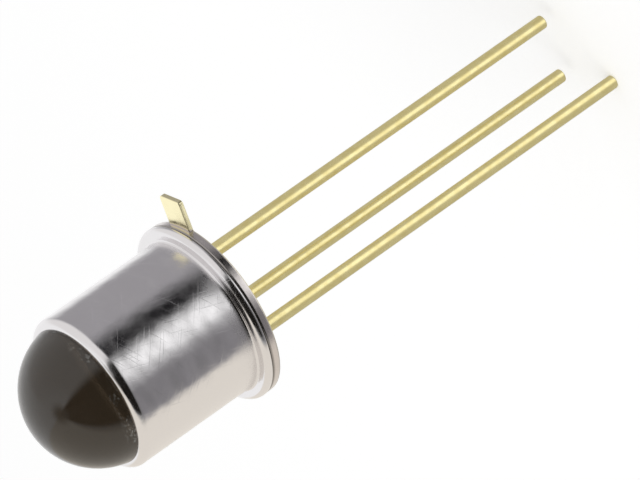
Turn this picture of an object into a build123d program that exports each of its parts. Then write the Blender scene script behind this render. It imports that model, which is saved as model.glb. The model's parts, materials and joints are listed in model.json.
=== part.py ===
from build123d import *
from math import cos, radians, sin, sqrt
import os

# Metal-can phototransistor with a domed glass lens. Millimetres.
# Z = 0 is the seat, the underside of the header. +Z runs out through the lens and the leads hang below.
# Seen from above, the collector lead is at +X, the emitter lead at -X, the base lead at -Y,
# and the index tab points 45 degrees from the emitter lead, away from the base lead.

# Leads
lead_circle = 2.54
lead_radius = 0.20
emitter_lead_length = 13.15
base_lead_length = 13.15
collector_lead_length = 13.60
lead_end_bevel = 0.05
emitter_angle = 180
base_angle = 270
collector_angle = 0

# Flattened heads of the two insulated leads, and the weld flare of the collector lead
head_radius = 0.36
head_thickness = 0.10
head_stand = 0.20
flare_radius = 0.30
flare_height = 0.12

# Header: a drawn shell filled with sealing glass
glass_wall = 0.28
glass_ring = 0.22
glass_ring_drop = 0.03
shell_thickness = 0.25
header_height = 1.20
header_flange_thickness = 0.29
header_flange_setback = 0.01
header_flange_bevel = 0.07
header_top_bevel = 0.15
mouth_round = 0.15
meniscus_spread = 0.12
meniscus_height = 0.10
meniscus_lip = 0.02

# Index tab, coined thinner than the flange and flush with the seat
tab_angle = 135
tab_width = 0.90
tab_reach = 0.90
tab_thickness = 0.15
tab_corner_round = 0.10
tab_edge_bevel = 0.02

# Cap: a drawn can with a welding flange
header_clearance = 0.10
can_wall = 0.25
can_rim_height = 4.58
can_rim_round = 0.25
cap_flange_width = 0.37
cap_flange_thickness = 0.21
cap_flange_round = 0.17
cap_flange_bevel = 0.03
cap_root_round = 0.07

# Lens: a dome of glass fused into the end of the can
dome_excess = 0.045
lens_step = 0.03
lens_depth = 1.30
lens_hollow = 0.15

# Chip, its solder and its bond wires
chip_width = 0.80
chip_thickness = 0.25
solder_margin = 0.05
solder_thickness = 0.03
solder_corner_round = 0.08
pad_offset = 0.26
wire_radius = 0.019
ball_radius = 0.050
ball_height = 0.030
stitch_radius = 0.045
stitch_height = 0.030
wire_foot_height = 0.021
loop_height = 0.35
loop_bend = 0.08

# Radii, stacked outward from the lead circle
lead_reach = lead_circle / 2
pocket_radius = lead_reach + lead_radius + glass_wall
header_radius = pocket_radius + shell_thickness
bore_radius = header_radius + header_clearance
can_radius = bore_radius + can_wall
cap_flange_radius = can_radius + cap_flange_width
header_flange_radius = cap_flange_radius - header_flange_setback
lead_hole_radius = lead_radius + glass_ring
tab_tip_radius = cap_flange_radius + tab_reach
dome_radius = bore_radius + dome_excess

# Heights, stacked upward from the seat
pocket_height = header_height - shell_thickness
head_top = header_height + head_stand + head_thickness
cap_flange_top = header_flange_thickness + cap_flange_thickness
rim_land = can_rim_height - can_rim_round + sqrt(can_rim_round**2 - (can_rim_round - can_wall) ** 2)
lens_edge = rim_land + lens_step
dome_centre = lens_edge - sqrt(dome_radius**2 - bore_radius**2)
chip_base = header_height + solder_thickness
chip_top = chip_base + chip_thickness


def turned(*outline):
    """Solid of one closed outline, drawn with radius across and height up, turned round Z."""
    return revolve(Plane.XZ * make_face(outline), Axis.Z, clean=False)


def on_lead_circle(angle, height=0):
    """The point of the lead circle at this angle and height."""
    return Pos(lead_reach * cos(radians(angle)), lead_reach * sin(radians(angle)), height)


def cap():
    """Drawn can: flange and root fillet below, a plain wall, and a rim rounded over to the bore.

    The bevel inside the root keeps the wall's thickness round the bend.
    """
    bend = (cap_root_round + can_wall) * (2 - sqrt(2))
    wall = FilletPolyline(
        (bore_radius, rim_land),
        (bore_radius, header_flange_thickness + bend),
        (bore_radius + bend, header_flange_thickness),
        (cap_flange_radius - cap_flange_bevel, header_flange_thickness),
        (cap_flange_radius, header_flange_thickness + cap_flange_bevel),
        (cap_flange_radius, cap_flange_top),
        (can_radius, cap_flange_top),
        (can_radius, can_rim_height - can_rim_round),
        radius=[0, 0, 0, 0, cap_flange_round, cap_root_round],
    )
    rim = RadiusArc(wall @ 1, wall @ 0, -can_rim_round)
    return turned(wall, rim)


def lens():
    """Glass plug in the bore with a domed front, and an inner face drawn up the bore as it cooled."""
    top = (0, dome_centre + dome_radius)
    edge = (bore_radius, lens_edge)
    foot = (bore_radius, can_rim_height - lens_depth)
    middle = (0, can_rim_height - lens_depth + lens_hollow)
    hollow_radius = (bore_radius**2 + lens_hollow**2) / (2 * lens_hollow)
    dome = RadiusArc(top, edge, dome_radius)
    inner_face = RadiusArc(middle, foot, hollow_radius)
    return turned(dome, Line(edge, foot), inner_face, Line(middle, top))


def index_tab():
    """Flat tab from inside the flange to its tip, with rounded corners and a bevelled upper edge."""
    root = (header_radius + header_flange_radius) / 2
    outline = Rectangle(tab_tip_radius - root, tab_width, align=(Align.MIN, Align.CENTER))
    outline = fillet(outline.vertices().group_by(Axis.X)[-1], tab_corner_round)
    tab = extrude(Pos(root, 0) * outline, tab_thickness)
    tab = chamfer(tab.faces().sort_by(Axis.Z)[-1].edges(), tab_edge_bevel)
    return Rot(0, 0, tab_angle) * tab


def header_shell():
    """Drawn shell: flange with the index tab, a raised top with two lead holes, open underneath."""
    top = Polyline(
        (0, header_height),
        (header_radius - header_top_bevel, header_height),
        (header_radius, header_height - header_top_bevel),
        (header_radius, header_flange_thickness),
        (header_flange_radius - header_flange_bevel, header_flange_thickness),
        (header_flange_radius, header_flange_thickness - header_flange_bevel),
        (header_flange_radius, header_flange_bevel),
        (header_flange_radius - header_flange_bevel, 0),
    )
    underside = FilletPolyline(
        top @ 1,
        (pocket_radius, 0),
        (pocket_radius, pocket_height),
        (0, pocket_height),
        radius=[mouth_round, 0],
    )
    shell = turned(top, underside, Line(underside @ 1, top @ 0))
    shell += index_tab()
    for angle in (emitter_angle, base_angle):
        shell -= on_lead_circle(angle, pocket_height) * Cylinder(lead_hole_radius, 2 * shell_thickness)
    return shell


def header_glass():
    """Sealing glass: fills the pocket and both lead holes, and climbs each lead in a small fillet."""
    fill_height = pocket_height - mouth_round
    glass = Pos(0, 0, mouth_round + fill_height / 2) * Cylinder(pocket_radius, fill_height)
    ring_top = header_height - glass_ring_drop
    ring_height = ring_top - pocket_height
    ring_middle = (pocket_height + ring_top) / 2
    for angle in (emitter_angle, base_angle):
        glass += on_lead_circle(angle, ring_middle) * Cylinder(lead_hole_radius, ring_height)
    climb = Cone(lead_radius + meniscus_lip, lead_radius + meniscus_spread, meniscus_height)
    for angle in (emitter_angle, base_angle, collector_angle):
        glass += on_lead_circle(angle, mouth_round - meniscus_height / 2) * climb
    glass -= insulated_lead(emitter_angle, emitter_lead_length)
    glass -= insulated_lead(base_angle, base_lead_length)
    glass -= collector_lead()
    return glass


def free_length(length):
    """Outline of a lead from the middle of its cut end up to the seat, where its sealed length starts."""
    return Polyline(
        (0, -length),
        (lead_radius - lead_end_bevel, -length),
        (lead_radius, lead_end_bevel - length),
        (lead_radius, 0),
    )


def insulated_lead(angle, length):
    """Wire through the glass with a flattened head."""
    free = free_length(length)
    head = Polyline(
        free @ 1,
        (lead_radius, head_top - head_thickness),
        (head_radius, head_top - head_thickness),
        (head_radius, head_top),
        (0, head_top),
        free @ 0,
    )
    return on_lead_circle(angle) * turned(free, head)


def collector_lead():
    """Wire that ends in the glass, flared where it is welded to the underside of the shell's top."""
    free = free_length(collector_lead_length)
    flare = Polyline(
        free @ 1,
        (lead_radius, pocket_height - flare_height),
        (flare_radius, pocket_height),
        (0, pocket_height),
        free @ 0,
    )
    return on_lead_circle(collector_angle) * turned(free, flare)


def die_attach():
    """Thin square of solder under the chip, with the rounded corners of a melted preform."""
    width = chip_width + 2 * solder_margin
    outline = RectangleRounded(width, width, solder_corner_round)
    return extrude(Pos(0, 0, header_height) * outline, solder_thickness)


def chip():
    """Square silicon chip, centred under the lens."""
    return extrude(Pos(0, 0, chip_base) * Rectangle(chip_width, chip_width), chip_thickness)


def bond_wire(angle):
    """Wire from a ball on the chip, up, over and down to a stitch on the head of the lead at this angle."""
    ball = Pos(pad_offset, 0, chip_top + ball_height / 2) * Cylinder(ball_radius, ball_height)
    stitch = Pos(lead_reach, 0, head_top + stitch_height / 2) * Cylinder(stitch_radius, stitch_height)
    path = Plane.XZ * Polyline(
        (pad_offset, chip_top + ball_height / 2),
        (pad_offset, chip_top + loop_height - loop_bend),
        (pad_offset + loop_bend, chip_top + loop_height),
        (lead_reach, head_top + wire_foot_height),
    )
    section = Plane(path @ 0, z_dir=path % 0) * Circle(wire_radius)
    wire = sweep(section, path=path, transition=Transition.RIGHT)
    return Rot(0, 0, angle) * (ball + stitch + wire)


parts = {
    "cap": cap(),
    "lens": lens(),
    "header_shell": header_shell(),
    "header_glass": header_glass(),
    "emitter_lead": insulated_lead(emitter_angle, emitter_lead_length),
    "base_lead": insulated_lead(base_angle, base_lead_length),
    "collector_lead": collector_lead(),
    "die_attach": die_attach(),
    "chip": chip(),
    "emitter_wire": bond_wire(emitter_angle),
    "base_wire": bond_wire(base_angle),
}

os.makedirs("parts", exist_ok=True)
for name, shape in parts.items():
    export_step(shape, f"parts/{name}.step")
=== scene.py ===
import json
from math import asin, cos, pi, radians, sin, sqrt

import bmesh
import bpy
import numpy as np
from bpy.props import FloatProperty, FloatVectorProperty, PointerProperty
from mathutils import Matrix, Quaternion, Vector


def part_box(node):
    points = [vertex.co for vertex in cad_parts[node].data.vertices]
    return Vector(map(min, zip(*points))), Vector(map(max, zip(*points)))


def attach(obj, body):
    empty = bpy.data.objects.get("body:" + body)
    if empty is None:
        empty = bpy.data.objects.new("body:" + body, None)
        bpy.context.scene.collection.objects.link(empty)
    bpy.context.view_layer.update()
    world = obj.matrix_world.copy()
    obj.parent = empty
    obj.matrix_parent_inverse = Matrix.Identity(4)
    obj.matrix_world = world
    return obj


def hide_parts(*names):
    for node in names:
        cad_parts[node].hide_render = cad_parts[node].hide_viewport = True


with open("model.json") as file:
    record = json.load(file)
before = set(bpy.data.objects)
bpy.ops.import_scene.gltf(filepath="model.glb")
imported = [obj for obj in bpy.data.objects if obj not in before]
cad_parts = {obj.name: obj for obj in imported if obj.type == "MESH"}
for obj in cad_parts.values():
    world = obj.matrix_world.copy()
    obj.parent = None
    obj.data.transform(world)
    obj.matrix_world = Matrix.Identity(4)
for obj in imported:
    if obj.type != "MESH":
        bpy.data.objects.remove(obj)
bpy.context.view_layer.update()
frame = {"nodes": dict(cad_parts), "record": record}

bl_info = {
    "name": "Metal-can phototransistor",
    "version": (1, 0, 0),
    "blender": (4, 5, 0),
    "location": "3D View > Sidebar > Phototransistor",
    "description": "Finished surfaces and materials of a metal-can phototransistor with a domed glass lens",
    "category": "Object",
}

# Lengths are in metres. Z = 0 is the seat, the underside of the header, and +Z runs out through the lens.
MM = 0.001
# Divisions round the can and header, the sealing glass, the leads with what is round them, the ends of a bond
# wire, and the wire itself
AROUND = 288
GLASS_AROUND = 360
LEAD_AROUND = 96
DISC_AROUND = 32
WIRE_AROUND = 24
# Rings across the glass's underside, over the edge of the tab, and along a bond wire
GLASS_RINGS = 120
EDGE_RINGS = 9
WIRE_RINGS = 60
# How far glass is set into the metal that it wets, so that no air shows between them
WETTING = 0.003 * MM
# Points this close are one point, and an edge that turns more than this is sharp
MERGE = 0.00005 * MM
SHARP = radians(35)
# Direction of the index tab round the axis, from +X towards +Y
TAB_ANGLE = radians(135)


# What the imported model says

mounts = {mount["name"]: mount for mount in frame["record"]["mounts"]}
can_radius = mounts["can_body"]["dims"]["r_mm"] * MM
lead_radius = mounts["leads"]["dims"]["stud_r_mm"] * MM
cap_low, cap_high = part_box("cap")
lens_low, lens_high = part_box("lens")
shell_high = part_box("header_shell")[1]
glass_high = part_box("header_glass")[1]
chip_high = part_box("chip")[1]
flange_radius = cap_high.x
bore_radius = lens_high.x
header_flange_radius = shell_high.x
pocket_radius = glass_high.x
lead_names = ("emitter_lead", "base_lead", "collector_lead")
lead_tips = min(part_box(name)[0].z for name in lead_names)


def lead_place(name):
    """Point of the seat that this lead's axis goes through."""
    low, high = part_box(name)
    return Vector(((low.x + high.x) / 2, (low.y + high.y) / 2, 0))


def linear(code):
    """Linear red, green, blue and alpha of an sRGB hex colour."""
    channels = np.array([int(code[start : start + 2], 16) for start in (1, 3, 5)]) / 255
    dark = channels / 12.92
    light = ((channels + 0.055) / 1.055) ** 2.4
    return (*np.where(channels <= 0.04045, dark, light).tolist(), 1.0)


# Sizes and colours that a user would change


def length(name, description, value):
    """A length property whose default is given in millimetres."""
    return FloatProperty(
        name=name, description=description, default=value * MM, min=0, precision=5, unit="LENGTH"
    )


def colour(name, description, code):
    """A colour property whose default is an sRGB hex colour."""
    return FloatVectorProperty(
        name=name, description=description, default=linear(code), size=4, min=0, max=1, subtype="COLOR"
    )


def in_degrees(name, description, value):
    """An angle property whose default is given in degrees."""
    return FloatProperty(name=name, description=description, default=radians(value), unit="ROTATION")


def point(name, description, place):
    """A point property whose default is given in millimetres."""
    default = [one * MM for one in place]
    return FloatVectorProperty(name=name, description=description, default=default, subtype="TRANSLATION")


def amount(name, description, value):
    """A plain property that is never below 0."""
    return FloatProperty(name=name, description=description, default=value, min=0)


class CanSizes(bpy.types.PropertyGroup):
    """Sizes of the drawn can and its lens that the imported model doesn't state."""

    rim_round: length("Rim round", "Radius of the outer edge of the can's open end", 0.245)
    rim_edge: length("Rim edge", "Radius of the edge between the rim and the bore", 0.005)
    flange_thickness: length("Flange thickness", "Height of the can's welding flange", 0.21)
    flange_top_round: length("Flange top round", "Radius of the flange's upper edge", 0.17)
    flange_low_round: length("Flange low round", "Radius of the flange's edge beside the weld", 0.03)
    root_round: length("Root round", "Radius of the fillet between the flange and the wall", 0.07)
    lens_step: length("Lens step", "How far the glass stands above the rim at the bore", 0.03)
    lens_hollow: length("Lens hollow", "Depth of the lens's hollow inner face", 0.15)


class HeaderSizes(bpy.types.PropertyGroup):
    """Sizes of the header, its index tab and its glass."""

    top_radius: length("Top radius", "Radius of the header's raised top", 2.00)
    flange_thickness: length("Flange thickness", "Thickness of the header's flange", 0.29)
    flange_round: length("Flange round", "Radius of the flange's two edges", 0.07)
    top_round: length("Top round", "Radius of the edge of the raised top", 0.15)
    root_edge: length("Root edge", "Radius of the corner where the raised top leaves the flange", 0.03)
    shell_thickness: length("Shell thickness", "Thickness of the header's shell", 0.25)
    mouth_round: length("Mouth round", "Radius of the pocket's mouth in the seat", 0.15)
    pocket_corner: length("Pocket corner", "Radius of the corner at the top of the pocket", 0.02)
    lead_hole: length("Lead hole", "Radius of the holes that the insulated leads pass through", 0.42)
    tab_width: length("Tab width", "Width of the index tab", 0.90)
    tab_reach: length("Tab reach", "How far the tab's tip stands out from the can's flange", 0.90)
    tab_thickness: length("Tab thickness", "Thickness of the index tab", 0.15)
    tab_corner: length("Tab corner", "Radius of the tab's two corners", 0.10)
    tab_edge: length("Tab edge", "Radius of the tab's upper and lower edges", 0.02)
    climb_height: length("Glass climb", "How far the glass climbs each lead", 0.10)
    climb_spread: length("Climb spread", "How fast the glass's climb dies away from the lead", 0.05)
    wall_climb: length("Wall climb", "How far the glass creeps over the pocket's mouth", 0.03)
    ring_drop: length("Ring drop", "How far the glass lies under the header's top in the lead holes", 0.03)


class LeadSizes(bpy.types.PropertyGroup):
    """Sizes of the leads, the bond wires and the chip's pads."""

    end_round: length("End round", "Radius of the edge of a lead's cut end", 0.05)
    head_thickness: length("Head thickness", "Thickness of an insulated lead's flattened head", 0.10)
    head_round: length("Head round", "Radius of the head's edges", 0.03)
    head_root: length("Head root", "Radius of the corner between the head and the wire", 0.02)
    flare_radius: length("Flare radius", "Radius of the collector lead where it is welded to the shell", 0.30)
    flare_height: length("Flare height", "Height of the collector lead's flare", 0.12)
    flare_round: length("Flare round", "Radius of the corner where the flare starts", 0.05)
    flare_edge: length("Flare edge", "Radius of the flare's edge against the shell", 0.01)
    wire_radius: length("Wire radius", "Radius of a bond wire", 0.019)
    ball_radius: length("Ball radius", "Radius of the ball that ends a bond wire on the chip", 0.05)
    ball_height: length("Ball height", "Height of that ball", 0.03)
    stitch_radius: length("Stitch radius", "Radius of the pressed end on the lead's head", 0.045)
    pad_offset: length("Pad offset", "Distance from the axis to the chip's contact pads", 0.26)
    pad_radius: length("Pad radius", "Radius of a contact pad", 0.085)
    loop_height: length("Loop height", "Height of a bond wire's loop above the chip", 0.35)


class PartColours(bpy.types.PropertyGroup):
    """Base colours of the part's materials."""

    nickel: colour("Nickel", "Bright nickel plate", "#E8E6E7")
    weld_grey: colour("Weld grey", "Edge of the header's flange, greyed by welding", "#D6D0CE")
    gold: colour("Gold", "Pale gold plate on the leads", "#FBEFB4")
    header_gold: colour("Header gold", "Paler gold plate on the header", "#FDF4C8")
    lens_glass: colour("Lens glass", "Dark daylight-filtering glass", "#5C4F3F")
    # Painted highlight: pale specks in the lens close above the rim that stand in for glints.
    glint_specks: colour("Seeds", "Pale seeds caught in the lens close to the rim", "#B8B6B0")
    oxide: colour("Oxide", "Oxidised metal under fused glass", "#4A4642")
    # Partly painted shade: besides the weld line, this colour darkens the groove between the two flanges.
    seam_and_groove_shade: colour("Weld seam", "Scorched line where the two flanges are welded", "#8E8A87")
    sealing_glass: colour("Sealing glass", "Dark fired sealing glass", "#2B302F")
    solder: colour("Solder", "Gold-silicon solder", "#B9A878")
    silicon: colour("Silicon", "Polished silicon", "#4C4C55")
    aluminium: colour("Aluminium", "Contact pads on the chip", "#D5D6D8")


class StageSettings(bpy.types.PropertyGroup):
    """Camera, floor and light."""

    camera_distance: length("Camera distance", "Distance from the seat's centre to the camera", 218.70)
    camera_azimuth: in_degrees("Camera azimuth", "Turn of the camera round the axis, from +X to +Y", 77.44)
    camera_elevation: in_degrees("Camera elevation", "Height of the camera above the seat's plane", 23.30)
    camera_roll: in_degrees("Camera roll", "Turn of the camera about its line of sight", -125.10)
    camera_angle: in_degrees("Field of view", "Width of the view", 4.522)
    camera_aim: point("Camera aim", "Point that the camera looks at", (0.4525, 1.2586, -3.0812))
    ambient: amount("Ambient light", "Level of the light from all round", 0.7)
    floor: colour("Floor", "Matt pale floor", "#F0F0F0")
    floor_radius: length("Floor radius", "Radius of the floor", 400)
    floor_lift: amount("Floor lift", "How much the floor adds to its own light", 0.30)
    lamp_size: length("Lamp size", "Width of the soft lamp", 120)
    lamp_place: point("Lamp place", "Centre of the lamp, which faces the seat's centre", (70, 40, 150))
    lamp_power: amount("Lamp power", "Power of the soft lamp, in watts", 0.05)


# Surfaces


def rounded(corners, radii, closed=False, arc_steps=10, run_steps=14):
    """Profile through corners, each rounded to its own radius, or sharp where that is 0.

    A corner whose inside half angle is h is cut radius / tan(h) before and behind it, and the arc between the
    cuts is centre + (sin((1 - t) s) start + sin(t s) end) / sin(s), where s is the turn. The straight runs
    are divided at (1 - cos(pi t)) / 2, which crowds their points beside the arcs.
    """
    corners = np.array(corners, float)
    last = len(corners) - 1
    step = np.linspace(0, 1, arc_steps + 1)[:, None]
    arcs = []
    for index, (corner, radius) in enumerate(zip(corners, radii)):
        if radius == 0 or (not closed and index in (0, last)):
            arcs.append(corner[None])
            continue
        back = corners[index - 1] - corner
        ahead = corners[(index + 1) % len(corners)] - corner
        back /= np.linalg.norm(back)
        ahead /= np.linalg.norm(ahead)
        half = np.arccos(back @ ahead) / 2
        centre = corner + (back + ahead) / np.linalg.norm(back + ahead) * radius / sin(half)
        start = corner + back * radius / np.tan(half) - centre
        end = corner + ahead * radius / np.tan(half) - centre
        turn = pi - 2 * half
        arcs.append(centre + (np.sin((1 - step) * turn) * start + np.sin(step * turn) * end) / sin(turn))
    share = ((1 - np.cos(pi * np.arange(1, run_steps) / run_steps)) / 2)[:, None]
    path = []
    for index, bend in enumerate(arcs):
        path.append(bend)
        if closed or index < last:
            following = arcs[(index + 1) % len(arcs)][0]
            path.append(bend[-1] + (following - bend[-1]) * share)
    return np.concatenate(path)


def arc(centre, radius, start, end, steps):
    """Points centre + radius (cos a, sin a), with a going from start to end."""
    angle = np.linspace(start, end, steps + 1)
    return np.array(centre) + radius * np.stack([np.cos(angle), np.sin(angle)], axis=-1)


def turned(profile, around=AROUND):
    """Surface of revolution: the point (r cos a, r sin a, z) for each profile point (r, z) and angle a."""
    angle = 2 * pi * np.arange(around) / around
    radius, height = np.array(profile).T
    across = np.outer(radius, np.cos(angle))
    along = np.outer(radius, np.sin(angle))
    return np.stack([across, along, np.outer(height, np.ones(around))], axis=-1)


def tube(path, radii, around=WIRE_AROUND):
    """Round tube along a path in the XZ plane: path + radius (n cos a + y sin a), n square to the path."""
    tangent = np.gradient(path, axis=0)
    tangent /= np.linalg.norm(tangent, axis=1)[:, None]
    angle = 2 * pi * np.arange(around) / around
    centre = np.stack([path[:, 0], 0 * path[:, 0], path[:, 1]], axis=-1)[:, None]
    normal = np.stack([-tangent[:, 1], 0 * path[:, 0], tangent[:, 0]], axis=-1)[:, None]
    side = np.array([0, 1, 0])
    ring = np.cos(angle)[None, :, None] * normal + np.sin(angle)[None, :, None] * side
    return centre + radii[:, None, None] * ring


def quads(rows, columns, closed):
    """Corner numbers of a grid's faces. Its columns close round, and so do its rows if closed is set."""
    here = np.arange(rows * columns).reshape(rows, columns)
    faces = np.stack([here, np.roll(here, -1, 1), np.roll(here, (-1, -1), (0, 1)), np.roll(here, -1, 0)], -1)
    return (faces if closed else faces[:-1]).reshape(-1, 4)


def mesh_object(name, grids):
    """Object of grids of points, each given with whether its rows close, with seams and poles merged."""
    points, faces, count = [], [], 0
    for grid, closed in grids:
        points.append(grid.reshape(-1, 3))
        faces.append(quads(*grid.shape[:2], closed) + count)
        count += len(points[-1])
    mesh = bpy.data.meshes.new(name)
    mesh.from_pydata(np.concatenate(points), [], np.concatenate(faces).tolist())
    weld = bmesh.new()
    weld.from_mesh(mesh)
    bmesh.ops.remove_doubles(weld, verts=weld.verts, dist=MERGE)
    weld.to_mesh(mesh)
    weld.free()
    mesh.shade_smooth()
    mesh.set_sharp_from_angle(angle=SHARP)
    made = bpy.data.objects.new(name, mesh)
    bpy.context.scene.collection.objects.link(made)
    return made


def drilled(piece, places, radius, low, high):
    """The piece with a round hole at each place, cut upright from low to high."""
    for place in places:
        outline = [(0, low), (radius, low), (radius, high), (0, high)]
        cutter = mesh_object("cutter", [(turned(outline, LEAD_AROUND) + np.array(place), False)])
        cut = piece.modifiers.new("hole", "BOOLEAN")
        cut.operation = "DIFFERENCE"
        cut.solver = "EXACT"
        cut.object = cutter
        depsgraph = bpy.context.evaluated_depsgraph_get()
        mesh = bpy.data.meshes.new_from_object(piece.evaluated_get(depsgraph))
        piece.modifiers.clear()
        piece.data = mesh
        bpy.data.objects.remove(cutter)
    piece.data.set_sharp_from_angle(angle=SHARP)
    return piece


def joined(piece, other):
    """The piece with the other object's mesh moved into its own."""
    both = bmesh.new()
    both.from_mesh(piece.data)
    both.from_mesh(other.data)
    both.to_mesh(piece.data)
    both.free()
    bpy.data.objects.remove(other)
    piece.data.set_sharp_from_angle(angle=SHARP)
    return piece


def finish_piece(piece, node, material):
    """Gives a piece its material and its body, and hides the node that it stands for."""
    piece.data.materials.clear()
    piece.data.materials.append(material)
    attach(piece, "root")
    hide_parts(node)


# Materials

# Soft noise mostly lies between the first pair of values and hardly ever outside the second.
MOST_NOISE = (0.35, 0.65)
ALL_NOISE = (0.3, 0.7)


def add(tree, kind, inputs=(), **settings):
    """Adds a node, sets it and fills its inputs, which a dict names and a list gives in the node's own order.

    An input takes a value, an output of another node, or another node, which stands for its first output.
    """
    made = tree.nodes.new("ShaderNode" + kind)
    for name, value in settings.items():
        setattr(made, name, value)
    for name, value in inputs.items() if isinstance(inputs, dict) else enumerate(inputs):
        if isinstance(value, bpy.types.Node):
            value = value.outputs[0]
        if isinstance(value, bpy.types.NodeSocket):
            tree.links.new(value, made.inputs[name])
        else:
            made.inputs[name].default_value = value
    return made


def new_material(name):
    """A material with an empty node tree, and the tree's object coordinates."""
    made = bpy.data.materials.new(name)
    made.use_nodes = True
    tree = made.node_tree
    tree.nodes.clear()
    return made, tree, add(tree, "TexCoord").outputs["Object"]


def mottle(tree, vector, size, detail=2.0, roughness=0.5):
    """Soft patches from 0 to 1, each this many millimetres across along the vector's three axes."""
    scale = [1 / (one * MM) for one in size]
    patch = add(tree, "Mapping", {"Vector": vector, "Scale": scale})
    return add(tree, "TexNoise", {"Vector": patch, "Scale": 1.0, "Detail": detail, "Roughness": roughness})


def relief(tree, *layers):
    """Surface direction under patterns laid over each other, each with the height of its 1 in millimetres."""
    below = {}
    for pattern, height in layers:
        surface = add(tree, "Bump", {"Height": pattern, "Distance": height * MM, **below})
        below = {"Normal": surface}
    return surface


def off_axis(tree, place):
    """Distance from the part's axis: the length of (x, y, 0)."""
    flat = add(tree, "VectorMath", [place, (1, 1, 0)], operation="MULTIPLY")
    return add(tree, "VectorMath", [flat], operation="LENGTH").outputs["Value"]


def surfaced(material, finish):
    """The material, with its tree ended in the Principled shader and the inputs that give its finish."""
    tree = material.node_tree
    add(tree, "OutputMaterial", [add(tree, "BsdfPrincipled", finish)])
    return material


def bright_nickel(colours):
    """Drawn can, barrel-plated with bright nickel, and bare oxidised metal where the glass is fused to it.

    The plate is a mirror that levels the drawn metal only in part: it keeps low rings left by the die, and
    handling adds shallow dents, fine scratches and duller patches. The strained metal above the flange is
    duller too. The eye sees reflections with wavering, broken edges, a dark bore behind the lens and a
    burnt weld line at the foot of the flange, darkened further as painted shade in the groove between the
    two flanges. The scratches are drawn wider than real ones, so that they show.
    """
    material, tree, place = new_material("bright_nickel_plate")
    split = add(tree, "SeparateXYZ", [place])
    height = split.outputs["Z"]
    foot, glass_foot = cap_low.z, lens_low.z
    seam_shade_full, seam_shade_gone = foot + 0.01 * MM, foot + 0.03 * MM
    dull_start, dull_full = foot + 0.24 * MM, foot + 0.30 * MM
    dull_fades, dull_gone = foot + 0.45 * MM, foot + 0.90 * MM
    glass_start, glass_full = glass_foot - 0.05 * MM, glass_foot + 0.05 * MM
    bore_full, bore_gone = bore_radius + WETTING, bore_radius + 2 * WETTING

    in_bore = add(tree, "MapRange", [off_axis(tree, place), bore_full, bore_gone, 1, 0])
    by_glass = add(tree, "MapRange", [height, glass_start, glass_full, 0, 1])
    oxidised = add(tree, "Math", [in_bore, by_glass], operation="MULTIPLY")
    # Painted shade: the weld line's colour darkens the foot of the can's flange, in the groove between the
    # two flanges.
    seam_and_shade = add(tree, "MapRange", [height, seam_shade_full, seam_shade_gone, 1, 0])
    bared = {0: oxidised, 6: tuple(colours.nickel), 7: tuple(colours.oxide)}
    plate = add(tree, "Mix", bared, data_type="RGBA").outputs[2]
    with_seam_shade = {0: seam_and_shade, 6: plate, 7: tuple(colours.seam_and_groove_shade)}

    rings = mottle(tree, place, (0.85, 0.85, 0.42), 0.0)
    dents = mottle(tree, place, (0.38, 0.38, 0.42), 0.5)
    pits = mottle(tree, place, (0.13, 0.13, 0.13))
    turn = add(tree, "Math", [split.outputs["Y"], split.outputs["X"]], operation="ARCTAN2")
    along = add(tree, "Math", [turn, can_radius], operation="MULTIPLY")
    unrolled = add(tree, "CombineXYZ", [along, height])
    scratches = 0.0
    for lean in (radians(24), radians(-38), radians(71)):
        turned_over = {"Vector": unrolled, "Rotation": (0, 0, lean)}
        leaning = add(tree, "Mapping", turned_over, vector_type="TEXTURE")
        lines = mottle(tree, leaning, (1.3, 0.035, 1), 0.0)
        lines = add(tree, "MapRange", [lines, 0.72, 0.80, 0, 1])
        scratches = add(tree, "Math", [scratches, lines], operation="MAXIMUM")

    haze = mottle(tree, place, (0.7, 0.7, 0.5), 4.0, 0.6)
    polish = add(tree, "MapRange", [haze, *MOST_NOISE, 0.11, 0.20])
    strained = add(tree, "MapRange", [height, dull_start, dull_full, 0, 0.12])
    fading = add(tree, "MapRange", [height, dull_fades, dull_gone, 1, 0])
    duller = add(tree, "Math", [strained, fading], operation="MULTIPLY")
    finish = {
        "Base Color": add(tree, "Mix", with_seam_shade, data_type="RGBA").outputs[2],
        "Metallic": 1.0,
        "Roughness": add(tree, "Math", [polish, duller], operation="ADD"),
        "Normal": relief(tree, (rings, 0.014), (dents, 0.007), (pits, 0.0014), (scratches, -0.0008)),
    }
    return surfaced(material, finish)


def pale_gold(colours):
    """Drawn wire of nickel-iron-cobalt sealing alloy with a thin gold plate.

    The die's lines run along the wire and the plate is slightly cloudy, so its highlights are long and soft.
    The lines are drawn coarser than real ones, so that they show.
    """
    material, tree, place = new_material("pale_gold_plate")
    lines = mottle(tree, place, (0.05, 0.05, 1.6))
    cloud = mottle(tree, place, (0.16, 0.16, 0.26), 3.0, 0.6)
    deeper = tuple(channel * factor for channel, factor in zip(colours.gold, (0.92, 0.89, 0.78, 1)))
    plate = {0: add(tree, "MapRange", [cloud, *MOST_NOISE, 0, 1]), 6: tuple(colours.gold), 7: deeper}
    finish = {
        "Base Color": add(tree, "Mix", plate, data_type="RGBA").outputs[2],
        "Metallic": 1.0,
        "Roughness": add(tree, "MapRange", [cloud, *MOST_NOISE, 0.26, 0.34]),
        "Normal": relief(tree, (lines, 0.0010), (cloud, 0.0014)),
    }
    return surfaced(material, finish)


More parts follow.
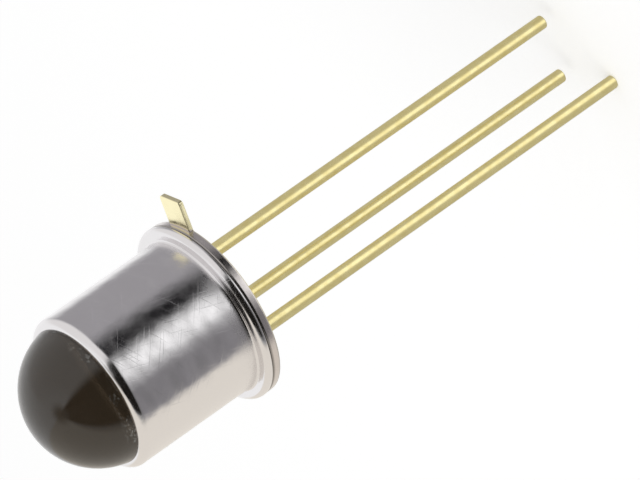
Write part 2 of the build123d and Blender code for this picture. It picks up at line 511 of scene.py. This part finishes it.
def header_plate(colours):
    """Gold plate on the header's stamped shell, greyed by welding round the edge of its flange.

    The eye sees a pale gold tab and seat, a flange rim that is as grey as the nickel beside it, and a dark
    band at the top of the rim: the weld line, darkened further as painted shade in the groove under the
    can's flange. The grain is drawn coarser than the real one, so that it shows.
    """
    material, tree, place = new_material("header_gold_plate")
    height = add(tree, "SeparateXYZ", [place]).outputs["Z"]
    radius = off_axis(tree, place)
    rim_start, rim_full = header_flange_radius - 0.20 * MM, header_flange_radius - 0.08 * MM
    rim_fades, rim_gone = header_flange_radius + 0.01 * MM, header_flange_radius + 0.06 * MM
    seat_gone, grey_full = 0.01 * MM, 0.05 * MM
    seam_shade_start, seam_shade_full = cap_low.z - 0.09 * MM, cap_low.z - 0.03 * MM

    inside = add(tree, "MapRange", [radius, rim_start, rim_full, 0, 1])
    outside = add(tree, "MapRange", [radius, rim_fades, rim_gone, 1, 0])
    above = add(tree, "MapRange", [height, seat_gone, grey_full, 0, 1])
    edge = add(tree, "Math", [inside, outside], operation="MULTIPLY")
    greyed = add(tree, "Math", [edge, above], operation="MULTIPLY")
    # Painted shade: the weld line's colour darkens the top of the flange rim, in the groove under the can's
    # flange.
    seam_and_shade = add(tree, "MapRange", [height, seam_shade_start, seam_shade_full, 0, 1])
    seam_and_shade = add(tree, "Math", [edge, seam_and_shade], operation="MULTIPLY")
    welded = {0: greyed, 6: tuple(colours.header_gold), 7: tuple(colours.weld_grey)}
    plate = add(tree, "Mix", welded, data_type="RGBA").outputs[2]
    with_seam_shade = {0: seam_and_shade, 6: plate, 7: tuple(colours.seam_and_groove_shade)}

    grain = mottle(tree, place, (0.06, 0.06, 0.06), 3.0, 0.6)
    cloud = mottle(tree, place, (0.35, 0.35, 0.35), 3.0, 0.6)
    finish = {
        "Base Color": add(tree, "Mix", with_seam_shade, data_type="RGBA").outputs[2],
        "Metallic": 1.0,
        "Roughness": add(tree, "MapRange", [cloud, *MOST_NOISE, 0.16, 0.28]),
        "Normal": relief(tree, (grain, 0.0012), (cloud, 0.004)),
    }
    return surfaced(material, finish)


def dark_lens_glass(colours):
    """Daylight-filtering glass, fire-polished on the dome.

    Its smooth gloss lies over a dark brown body that passes little light and scatters a little back. A few
    pale specks close above the rim are painted glints, set into the glass's colour.
    """
    material, tree, place = new_material("daylight_filter_glass")
    height = add(tree, "SeparateXYZ", [place]).outputs["Z"]
    glint_specks_thin, glint_specks_gone = cap_high.z + 0.12 * MM, cap_high.z + 0.34 * MM
    flow = mottle(tree, place, (0.9, 0.9, 0.9), 1.0)
    grains = mottle(tree, place, (0.10, 0.10, 0.06), 2.0, 0.6)
    groups = mottle(tree, place, (0.8, 0.8, 0.8), 1.0)
    # Painted highlight: pale specks in the glass's colour, close above the rim, stand in for glints.
    low = add(tree, "MapRange", [height, glint_specks_thin, glint_specks_gone, 1, 0])
    glint_specks = add(tree, "Math", [grains, groups], operation="ADD")
    glint_specks = add(tree, "MapRange", [glint_specks, 1.13, 1.25, 0, 1])
    glint_specks = add(tree, "Math", [glint_specks, low], operation="MULTIPLY")
    body = {0: glint_specks, 6: tuple(colours.lens_glass), 7: tuple(colours.glint_specks)}
    finish = {
        "Base Color": add(tree, "Mix", body, data_type="RGBA").outputs[2],
        "Roughness": 0.04,
        "IOR": 1.58,
        "Transmission Weight": 0.75,
        "Normal": relief(tree, (flow, 0.003)),
    }
    return surfaced(material, finish)


def fired_sealing_glass(colours):
    """Dark sealing glass, fired in the header: glossy, faintly rippled and speckled by small bubbles."""
    material, tree, place = new_material("fired_sealing_glass")
    ripple = mottle(tree, place, (0.45, 0.45, 0.45))
    specks = mottle(tree, place, (0.05, 0.05, 0.05))
    bubbles = add(tree, "MapRange", [specks, 0.66, 0.72, 0, 1])
    paler = tuple(min(1.0, channel * 2.2) for channel in colours.sealing_glass)
    body = {0: bubbles, 6: tuple(colours.sealing_glass), 7: paler}
    finish = {
        "Base Color": add(tree, "Mix", body, data_type="RGBA").outputs[2],
        "Roughness": 0.12,
        "IOR": 1.50,
        "Normal": relief(tree, (ripple, 0.012), (bubbles, 0.002)),
    }
    return surfaced(material, finish)


def eutectic_solder(colours):
    """Gold-silicon solder, dull and finely grained where it froze."""
    material, tree, place = new_material("gold_silicon_solder")
    grain = mottle(tree, place, (0.03, 0.03, 0.03), 3.0, 0.7)
    finish = {
        "Base Color": tuple(colours.solder),
        "Metallic": 1.0,
        "Roughness": add(tree, "MapRange", [grain, *ALL_NOISE, 0.35, 0.55]),
        "Normal": relief(tree, (grain, 0.004)),
    }
    return surfaced(material, finish)


def polished_silicon(colours, sizes):
    """Polished and sawn silicon with two bright contact pads, which the bond wires land on."""
    material, tree, place = new_material("polished_silicon")
    saw = mottle(tree, place, (0.30, 0.30, 0.008))
    pad_edge = sizes.pad_radius + 0.003 * MM
    pads = 0.0
    for x, y in ((-sizes.pad_offset, 0), (0, -sizes.pad_offset)):
        near = add(tree, "VectorMath", [place, (x, y, chip_high.z)], operation="DISTANCE").outputs["Value"]
        pad = add(tree, "MapRange", [near, sizes.pad_radius, pad_edge, 1, 0])
        pads = add(tree, "Math", [pads, pad], operation="MAXIMUM")
    top = {0: pads, 6: tuple(colours.silicon), 7: tuple(colours.aluminium)}
    finish = {
        "Base Color": add(tree, "Mix", top, data_type="RGBA").outputs[2],
        "Metallic": 1.0,
        "Roughness": add(tree, "MapRange", [pads, 0, 1, 0.12, 0.30]),
        "Normal": relief(tree, (saw, 0.001)),
    }
    return surfaced(material, finish)


def bond_gold(colours):
    """Soft annealed gold wire, finely ridged by the capillary that drew it out."""
    material, tree, place = new_material("annealed_gold_wire")
    ridges = mottle(tree, place, (0.012, 0.012, 0.012))
    finish = {
        "Base Color": tuple(colours.gold),
        "Metallic": 1.0,
        "Roughness": add(tree, "MapRange", [ridges, *ALL_NOISE, 0.18, 0.30]),
        "Normal": relief(tree, (ridges, 0.0008)),
    }
    return surfaced(material, finish)


# Pieces


class BuildCan(bpy.types.Operator):
    """Drawn can with its welding flange and rounded rim"""

    bl_idname = "phototransistor.can"
    bl_label = "Build the can"

    def execute(self, context):
        sizes = context.scene.can_sizes
        foot = cap_low.z
        flange_top = foot + sizes.flange_thickness
        wall = can_radius - bore_radius
        # The closed outline of the wall and flange is turned round Z.
        outline = rounded(
            [
                (can_radius, cap_high.z),
                (bore_radius, cap_high.z),
                (bore_radius, foot),
                (flange_radius, foot),
                (flange_radius, flange_top),
                (can_radius, flange_top),
            ],
            [
                sizes.rim_round,
                sizes.rim_edge,
                sizes.root_round + wall,
                sizes.flange_low_round,
                sizes.flange_top_round,
                sizes.root_round,
            ],
            closed=True,
        )
        piece = mesh_object("can", [(turned(outline), True)])
        finish_piece(piece, "cap", bright_nickel(context.scene.part_colours))
        return {"FINISHED"}


class BuildLens(bpy.types.Operator):
    """Dome of dark glass fused into the end of the can"""

    bl_idname = "phototransistor.lens"
    bl_label = "Build the lens"

    def execute(self, context):
        sizes = context.scene.can_sizes
        edge = cap_high.z + sizes.lens_step
        rise = lens_high.z - edge
        side = bore_radius + WETTING
        # The radius of a spherical cap of half width w and height h is (w^2 + h^2) / 2h.
        dome_radius = (side**2 + rise**2) / (2 * rise)
        dome_centre = lens_high.z - dome_radius
        hollow = sizes.lens_hollow
        hollow_radius = (side**2 + hollow**2) / (2 * hollow)
        inner_half = asin(side / hollow_radius)
        middle = (0, lens_low.z + hollow - hollow_radius)
        inner = arc(middle, hollow_radius, pi / 2, pi / 2 - inner_half, steps=40)
        wall = rounded([inner[-1], (side, edge)], [0, 0], run_steps=24)
        edge_angle = asin((edge - dome_centre) / dome_radius)
        dome = arc((0, dome_centre), dome_radius, edge_angle, pi / 2, steps=90)
        profile = np.concatenate([inner, wall[1:-1], dome])
        piece = mesh_object("lens_dome", [(turned(profile), False)])
        finish_piece(piece, "lens", dark_lens_glass(context.scene.part_colours))
        return {"FINISHED"}


def circle_plan(radius, turns):
    """Points (radius cos a, radius sin a), where a is the turn from the tab's angle."""
    angle = turns + TAB_ANGLE
    return radius * np.stack([np.cos(angle), np.sin(angle)], axis=-1)


def flange_plan(radius, tip, half_width, corner, turns, steps):
    """Circle with the tab standing out of it, a rectangle with two rounded corners, as one closed curve.

    The first points follow the tab from one of its roots to the other, and the rest keep to the circle.
    """
    root = sqrt(radius**2 - half_width**2)
    corners = [(root, -half_width), (tip, -half_width), (tip, half_width), (root, half_width)]
    tab = rounded(corners, [0, corner, corner, 0], **steps)
    turn = np.array([[cos(TAB_ANGLE), sin(TAB_ANGLE)], [-sin(TAB_ANGLE), cos(TAB_ANGLE)]])
    plan = circle_plan(radius, turns)
    plan[: len(tab)] = tab @ turn
    return plan


class BuildHeader(bpy.types.Operator):
    """Stamped header shell with its index tab, and the glass that fills it"""

    bl_idname = "phototransistor.header"
    bl_label = "Build the header"

    def execute(self, context):
        sizes = context.scene.header_sizes
        colours = context.scene.part_colours
        shell = mesh_object("header_shell_finished", [(self.shell_surface(sizes), False)])
        places = [lead_place(name) for name in lead_names]
        insulated = places[:2]
        beyond = shell_high.z * 2
        shell = drilled(shell, insulated, sizes.lead_hole, shell_high.z / 2, beyond)
        finish_piece(shell, "header_shell", header_plate(colours))
        glass = mesh_object("header_glass_finished", [(self.glass_body(sizes), False)])
        glass = drilled(glass, places, lead_radius, -MM, beyond)
        sleeves = [(self.glass_sleeve(sizes) + np.array(place), True) for place in insulated]
        glass = joined(glass, mesh_object("sleeves", sleeves))
        finish_piece(glass, "header_glass", fired_sealing_glass(colours))
        return {"FINISHED"}

    def shell_surface(self, sizes):
        """The shell from the middle of its pocket, round the flange and the tab, to the middle of its top.

        Each ring is a closed curve: a circle inside and above, and a circle with the tab standing out of it
        between the seat and the tab's upper face.
        """
        pocket_top = shell_high.z - sizes.shell_thickness
        half_width = sizes.tab_width / 2
        tip = flange_radius + sizes.tab_reach
        steps = {"arc_steps": 10, "run_steps": 16}
        # The tab's curve has two round corners, a sharp root at each end and three runs between them.
        tab_count = 2 * (steps["arc_steps"] + 1) + 2 + 3 * (steps["run_steps"] - 1)
        root_turn = asin(half_width / header_flange_radius)
        tab_turns = np.linspace(-root_turn, root_turn, tab_count)
        turns = np.concatenate([tab_turns, np.linspace(root_turn, 2 * pi - root_turn, AROUND)[1:-1]])

        inner = rounded(
            [
                (0, pocket_top),
                (pocket_radius, pocket_top),
                (pocket_radius, 0),
                (header_flange_radius - sizes.flange_round, 0),
            ],
            [0, sizes.pocket_corner, sizes.mouth_round, 0],
        )[:-1]
        outer = rounded(
            [
                (header_flange_radius, sizes.tab_thickness),
                (header_flange_radius, sizes.flange_thickness),
                (sizes.top_radius, sizes.flange_thickness),
                (sizes.top_radius, shell_high.z),
                (0, shell_high.z),
            ],
            [0, sizes.flange_round, sizes.root_edge, sizes.top_round, 0],
        )
        turn = np.linspace(0, pi / 2, EDGE_RINGS)
        lower = np.stack([1 - np.sin(turn), 1 - np.cos(turn)], axis=-1)
        upper = np.stack([1 - np.cos(turn), np.sin(turn)], axis=-1)
        tab_low = lower * sizes.tab_edge
        tab_high = upper * sizes.tab_edge + (0, sizes.tab_thickness - sizes.tab_edge)
        rim_low = lower * sizes.flange_round
        rim_high = np.stack([0 * turn, tab_high[:, 1]], axis=-1)

        rings = [np.column_stack([circle_plan(r, turns), np.full(len(turns), z)]) for r, z in inner]
        for (rim_in, rim_z), (tab_in, tab_z) in zip([*rim_low, *rim_high], [*tab_low, *tab_high]):
            plan = flange_plan(
                header_flange_radius - rim_in,
                tip - tab_in,
                half_width - tab_in,
                sizes.tab_corner - tab_in,
                turns,
                steps,
            )
            height = np.where(np.arange(len(turns)) < tab_count, tab_z, rim_z)
            rings.append(np.column_stack([plan, height]))
        rings += [np.column_stack([circle_plan(r, turns), np.full(len(turns), z)]) for r, z in outer]
        return np.array(rings)

    def glass_body(self, sizes):
        """The filled pocket, before the leads' holes.

        The underside hangs at the pocket's mouth and falls by climb exp(-(d - r) / spread) towards each lead,
        where d is the distance from its axis and r its radius, and by the same law towards the wall.
        """
        pocket_top = shell_high.z - sizes.shell_thickness
        side = pocket_radius + WETTING
        across = side * np.sin(np.linspace(0, pi / 2, GLASS_RINGS))
        level = np.full(len(across), sizes.mouth_round)
        underside = turned(np.stack([across, level], axis=-1), GLASS_AROUND)
        from_wall = side - np.hypot(underside[..., 0], underside[..., 1])
        fall = sizes.wall_climb * np.exp(-from_wall / sizes.climb_spread)
        for name in lead_names:
            place = lead_place(name)
            reach = np.hypot(underside[..., 0] - place.x, underside[..., 1] - place.y) - lead_radius
            fall += sizes.climb_height * np.exp(-np.maximum(reach, 0) / sizes.climb_spread)
        underside[..., 2] -= fall
        outline = rounded([(side, sizes.mouth_round), (side, pocket_top), (0, pocket_top)], [0, 0, 0])
        return np.concatenate([underside, turned(outline, GLASS_AROUND)])

    def glass_sleeve(self, sizes):
        """Ring of glass between an insulated lead and its hole: a turned rectangle."""
        low = shell_high.z - sizes.shell_thickness - WETTING
        high = shell_high.z - sizes.ring_drop
        wide = sizes.lead_hole + WETTING
        outline = [(lead_radius, low), (wide, low), (wide, high), (lead_radius, high)]
        return turned(outline, LEAD_AROUND)


class BuildLeads(bpy.types.Operator):
    """Three straight wire leads, two with flattened heads and one welded to the shell"""

    bl_idname = "phototransistor.leads"
    bl_label = "Build the leads"

    def execute(self, context):
        sizes = context.scene.lead_sizes
        gold = pale_gold(context.scene.part_colours)
        for name in lead_names:
            low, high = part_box(name)
            if name == "collector_lead":
                upper = [(lead_radius, high.z - sizes.flare_height), (sizes.flare_radius, high.z)]
                rounds = [sizes.flare_round, sizes.flare_edge]
            else:
                head_radius = (high.x - low.x) / 2
                under = high.z - sizes.head_thickness
                upper = [(lead_radius, under), (head_radius, under), (head_radius, high.z)]
                rounds = [sizes.head_root, sizes.head_round, sizes.head_round]
            corners = [(0, low.z), (lead_radius, low.z), *upper, (0, high.z)]
            # Each lead is a profile turned round its own axis.
            profile = rounded(corners, [0, sizes.end_round, *rounds, 0], run_steps=20)
            grid = turned(profile, LEAD_AROUND) + np.array(lead_place(name))
            piece = mesh_object(name + "_finished", [(grid, False)])
            finish_piece(piece, name, gold)
        return {"FINISHED"}


class BuildChip(bpy.types.Operator):
    """Chip, its solder and its two bond wires"""

    bl_idname = "phototransistor.chip"
    bl_label = "Build the chip and its wires"

    def execute(self, context):
        sizes = context.scene.lead_sizes
        colours = context.scene.part_colours
        finishes = {"chip": polished_silicon(colours, sizes), "die_attach": eutectic_solder(colours)}
        for node, material in finishes.items():
            frame["nodes"][node].data.materials.clear()
            frame["nodes"][node].data.materials.append(material)
        gold = bond_gold(colours)
        for lead, node in (("emitter_lead", "emitter_wire"), ("base_lead", "base_wire")):
            grids = [(grid, False) for grid in self.wire_surfaces(sizes, lead)]
            piece = mesh_object(node + "_finished", grids)
            finish_piece(piece, node, gold)
        return {"FINISHED"}

    def wire_surfaces(self, sizes, lead):
        """Ball, looped wire and stitch, turned to face the lead.

        The loop is the cubic curve (1-t)^3 a + 3 t (1-t)^2 b + 3 t^2 (1-t) c + t^3 d, where b stands over the
        ball and c halfway to the lead. The ball and the stitch are discs with rounded edges.
        """
        place = lead_place(lead)
        reach = place.length
        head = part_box(lead)[1].z
        start = np.array([sizes.pad_offset, chip_high.z + sizes.ball_height / 2])
        rise_height, fall_height = 1.75 * sizes.loop_height, 1.35 * sizes.loop_height
        rise = np.array([sizes.pad_offset + sizes.wire_radius, chip_high.z + rise_height])
        fall = np.array([(sizes.pad_offset + reach) / 2, chip_high.z + fall_height])
        end = np.array([reach, head + sizes.wire_radius])
        t = np.linspace(0, 1, WIRE_RINGS)[:, None]
        path = (1 - t) ** 3 * start + 3 * t * (1 - t) ** 2 * rise + 3 * t**2 * (1 - t) * fall + t**3 * end
        radii = np.full(len(path), sizes.wire_radius)
        radii[[0, -1]] = 0
        wire = tube(path, radii)[:, ::-1]
        ball = self.disc(sizes.ball_radius, sizes.ball_height) + (start[0], 0, chip_high.z)
        stitch = self.disc(sizes.stitch_radius, sizes.ball_height) + (reach, 0, head)
        angle = np.arctan2(place.y, place.x)
        turn = np.array([[cos(angle), sin(angle), 0], [-sin(angle), cos(angle), 0], [0, 0, 1]])
        return [grid @ turn for grid in (wire, ball, stitch)]

    def disc(self, radius, height):
        """Disc of that radius and height: a turned profile whose edges are nearly half its height round."""
        edge = height * 0.45
        corners = [(0, 0), (radius, 0), (radius, height), (0, height)]
        return turned(rounded(corners, [0, edge, edge, 0], arc_steps=6, run_steps=4), DISC_AROUND)


# The light tent is a sphere round the part, and the skirt is an upright ring close round the leads, there for
# them and for the undersides.
TENT_RADIUS = 200 * MM
SKIRT_RADIUS = 5 * MM
SKIRT_TOP = -1.9 * MM
SKIRT_FOOT = -30 * MM
# Points of the tent and of the skirt from foot to top, and divisions of both and of the floor round the axis
TENT_ROWS = 91
SKIRT_ROWS = 24
SCREEN_AROUND = 180
FLOOR_AROUND = 96
# What the two show to polished surfaces, painted in this order: name, azimuths and elevations in degrees,
# soft edges in degrees on those four sides, level and colour.
TENT_PANELS = (
    ("warm side", (-90, 8), (-90, 90), (6, 6, 6, 6), 1, "#EEE8DE"),
    ("left haze", (100, 215), (-8, 62), (16, 16, 16, 30), 1, "#EEECEB"),
    ("left grey", (120, 219), (-95, -8), (22, 26, 10, 22), 1, "#A3A1A4"),
    ("bright window", (64, 88), (-95, -20), (20, 16, 10, 14), 1.19, "#FFFFFF"),
    ("right grey", (5, 60), (-95, -10), (12, 32, 10, 20), 1, "#8C8A8D"),
    ("dark flag", (96, 130), (-95, -8), (22, 26, 10, 20), 1, "#201F21"),
    ("dim ceiling", (-200, 200), (80, 95), (10, 10, 16, 10), 1, "#8E8A83"),
    ("dark room", (9, 100), (-15, 84), (24, 20, 22, 20), 1, "#1E1C1A"),
)
SKIRT_PANELS = (
    ("shade", (-200, 200), (-95, 95), (10, 10, 10, 10), 1.28, "#ACAAA7"),
    ("window", (48, 106), (-95, 95), (24, 24, 10, 10), 1.15, "#FFFFFF"),
)


def smooth(value):
    """3 t^2 - 2 t^3, where t is the value moved up by a half and held between 0 and 1."""
    t = np.clip(value + 0.5, 0, 1)
    return 3 * t**2 - 2 * t**3


class BuildStage(bpy.types.Operator):
    """Pale floor, soft lamp, light tent and the camera"""

    bl_idname = "phototransistor.stage"
    bl_label = "Build the stage"

    def execute(self, context):
        settings = context.scene.stage_settings
        self.lay_floor(settings)
        self.set_world(context.scene, settings)
        self.pitch_tent()
        self.hang_lamp(settings)
        self.place_camera(context.scene, settings)
        return {"FINISHED"}

    def lay_floor(self, settings):
        """Wide disc at the tips of the leads, seen from above only.

        It keeps the shadow, and lifts itself to white for the eye.
        """
        profile = [(0, lead_tips), (settings.floor_radius, lead_tips)]
        floor = mesh_object("floor", [(turned(profile, FLOOR_AROUND)[:, ::-1], False)])
        material, tree, _ = new_material("matt_white_card")
        lift = [self.seen_directly(tree), settings.floor_lift]
        lift = add(tree, "Math", lift, operation="MULTIPLY")
        matt = add(tree, "BsdfDiffuse", {"Color": tuple(settings.floor)})
        glow = add(tree, "Emission", {"Strength": lift})
        card = add(tree, "AddShader", [matt, glow])
        clear = add(tree, "BsdfTransparent")
        under = add(tree, "NewGeometry").outputs["Backfacing"]
        add(tree, "OutputMaterial", [add(tree, "MixShader", [under, card, clear])])
        floor.data.materials.append(material)
        floor.visible_glossy = False

    def seen_directly(self, tree):
        """1 for what the eye sees, directly, in polished metal or through glass, and 0 for other light."""
        path = add(tree, "LightPath").outputs
        seen = add(tree, "Math", [path["Is Camera Ray"], path["Is Glossy Ray"]], operation="MAXIMUM")
        return add(tree, "Math", [seen, path["Is Transmission Ray"]], operation="MAXIMUM")

    def set_world(self, scene, settings):
        """White for the eye, for gloss and for glass, and the ambient level for matt surfaces."""
        world = bpy.data.worlds.new("white_studio")
        world.use_nodes = True
        tree = world.node_tree
        tree.nodes.clear()
        strength = add(tree, "MapRange", [self.seen_directly(tree), 0, 1, settings.ambient, 1])
        back = add(tree, "Background", {"Color": (1, 1, 1, 1), "Strength": strength})
        add(tree, "OutputWorld", [back])
        scene.world = world

    def pitch_tent(self):
        """Sphere of light round the whole part, and a skirt round the leads."""
        turn = np.linspace(-pi / 2, pi / 2, TENT_ROWS)
        sphere = turned(TENT_RADIUS * np.stack([np.cos(turn), np.sin(turn)], axis=-1), SCREEN_AROUND)
        self.hang_screen("light_tent", sphere[:, ::-1], TENT_PANELS)
        height = np.linspace(SKIRT_FOOT, SKIRT_TOP, SKIRT_ROWS)
        skirt = turned(np.stack([0 * height + SKIRT_RADIUS, height], axis=-1), SCREEN_AROUND)
        self.hang_screen("lead_skirt", skirt[:, ::-1], SKIRT_PANELS)

    def hang_screen(self, name, grid, panels):
        """Glowing screen that only polished surfaces see.

        Its colour starts white, and turns into each panel's by the product of s(d / edge) over the panel's
        four sides, where d is how far inside that side the point lies, edge is the side's soft edge, and s
        rises smoothly from 0 to 1 as its argument goes from -1/2 to 1/2.
        """
        screen = mesh_object(name, [(grid, False)])
        points = np.empty(3 * len(screen.data.vertices), np.float32)
        screen.data.vertices.foreach_get("co", points)
        x, y, z = points.reshape(-1, 3).T
        azimuth = np.degrees(np.arctan2(y, x))
        elevation = np.degrees(np.arctan2(z, np.hypot(x, y)))
        shade = np.ones((len(x), 4), np.float32)
        for _, (left, right), (low, high), edges, level, code in panels:
            middle = (left + right) / 2
            around = (azimuth - middle + 180) % 360 - 180 + middle
            inside = np.stack([around - left, right - around, elevation - low, high - elevation], axis=-1)
            weight = np.prod(smooth(inside / edges), axis=-1)
            shade += (level * np.array(linear(code)) - shade) * weight[:, None]
        painted = screen.data.color_attributes.new("panels", "FLOAT_COLOR", "POINT")
        painted.data.foreach_set("color", shade.astype(np.float32).ravel())
        material, tree, _ = new_material(name)
        seen = add(tree, "Attribute", attribute_name="panels").outputs["Color"]
        glow = add(tree, "Emission", {"Color": seen, "Strength": 1.0})
        add(tree, "OutputMaterial", [glow])
        material.cycles.emission_sampling = "NONE"
        screen.data.materials.append(material)
        screen.visible_camera = False
        screen.visible_diffuse = False
        screen.visible_transmission = False
        screen.visible_shadow = False

    def hang_lamp(self, settings):
        """One large soft lamp, high above the part and a little towards +X."""
        lamp = bpy.data.lights.new("soft_lamp", "AREA")
        lamp.shape = "DISK"
        lamp.size = settings.lamp_size
        lamp.energy = settings.lamp_power
        hung = bpy.data.objects.new("soft_lamp", lamp)
        hung.location = settings.lamp_place
        hung.rotation_euler = (-hung.location).to_track_quat("-Z", "Y").to_euler()
        hung.visible_glossy = False
        bpy.context.scene.collection.objects.link(hung)

    def place_camera(self, scene, settings):
        """Camera at the end of a line from the seat's centre, aimed beside it and rolled about its sight."""
        lens = bpy.data.cameras.new("camera")
        lens.angle = settings.camera_angle
        camera = bpy.data.objects.new("camera", lens)
        azimuth, elevation = settings.camera_azimuth, settings.camera_elevation
        outward = Vector((cos(elevation) * cos(azimuth), cos(elevation) * sin(azimuth), sin(elevation)))
        camera.location = outward * settings.camera_distance
        sight = Vector(settings.camera_aim) - camera.location
        camera.rotation_mode = "QUATERNION"
        roll = Quaternion((0, 0, 1), settings.camera_roll)
        camera.rotation_quaternion = sight.to_track_quat("-Z", "Y") @ roll
        scene.collection.objects.link(camera)
        scene.camera = camera
        scene.view_settings.view_transform = "Standard"


class PhototransistorPanel(bpy.types.Panel):
    """The part's builders and the values that they use"""

    bl_idname = "VIEW3D_PT_phototransistor"
    bl_label = "Phototransistor"
    bl_space_type = "VIEW_3D"
    bl_region_type = "UI"
    bl_category = "Phototransistor"

    def draw(self, context):
        for builder in BUILDERS:
            self.layout.operator(builder.bl_idname)
        for group in GROUPS:
            box = self.layout.box()
            values = getattr(context.scene, group)
            for name in GROUPS[group].__annotations__:
                box.prop(values, name)


GROUPS = {
    "can_sizes": CanSizes,
    "header_sizes": HeaderSizes,
    "lead_sizes": LeadSizes,
    "part_colours": PartColours,
    "stage_settings": StageSettings,
}
BUILDERS = (BuildCan, BuildLens, BuildHeader, BuildLeads, BuildChip, BuildStage)


def register():
    for group in GROUPS:
        bpy.utils.register_class(GROUPS[group])
        setattr(bpy.types.Scene, group, PointerProperty(type=GROUPS[group]))
    for builder in BUILDERS:
        bpy.utils.register_class(builder)
    bpy.utils.register_class(PhototransistorPanel)


def unregister():
    bpy.utils.unregister_class(PhototransistorPanel)
    for builder in reversed(BUILDERS):
        bpy.utils.unregister_class(builder)
    for group in reversed(GROUPS):
        delattr(bpy.types.Scene, group)
        bpy.utils.unregister_class(GROUPS[group])


def main():
    register()
    bpy.ops.phototransistor.can()
    bpy.ops.phototransistor.lens()
    bpy.ops.phototransistor.header()
    bpy.ops.phototransistor.leads()
    bpy.ops.phototransistor.chip()
    bpy.ops.phototransistor.stage()


if __name__ == "__main__":
    main()
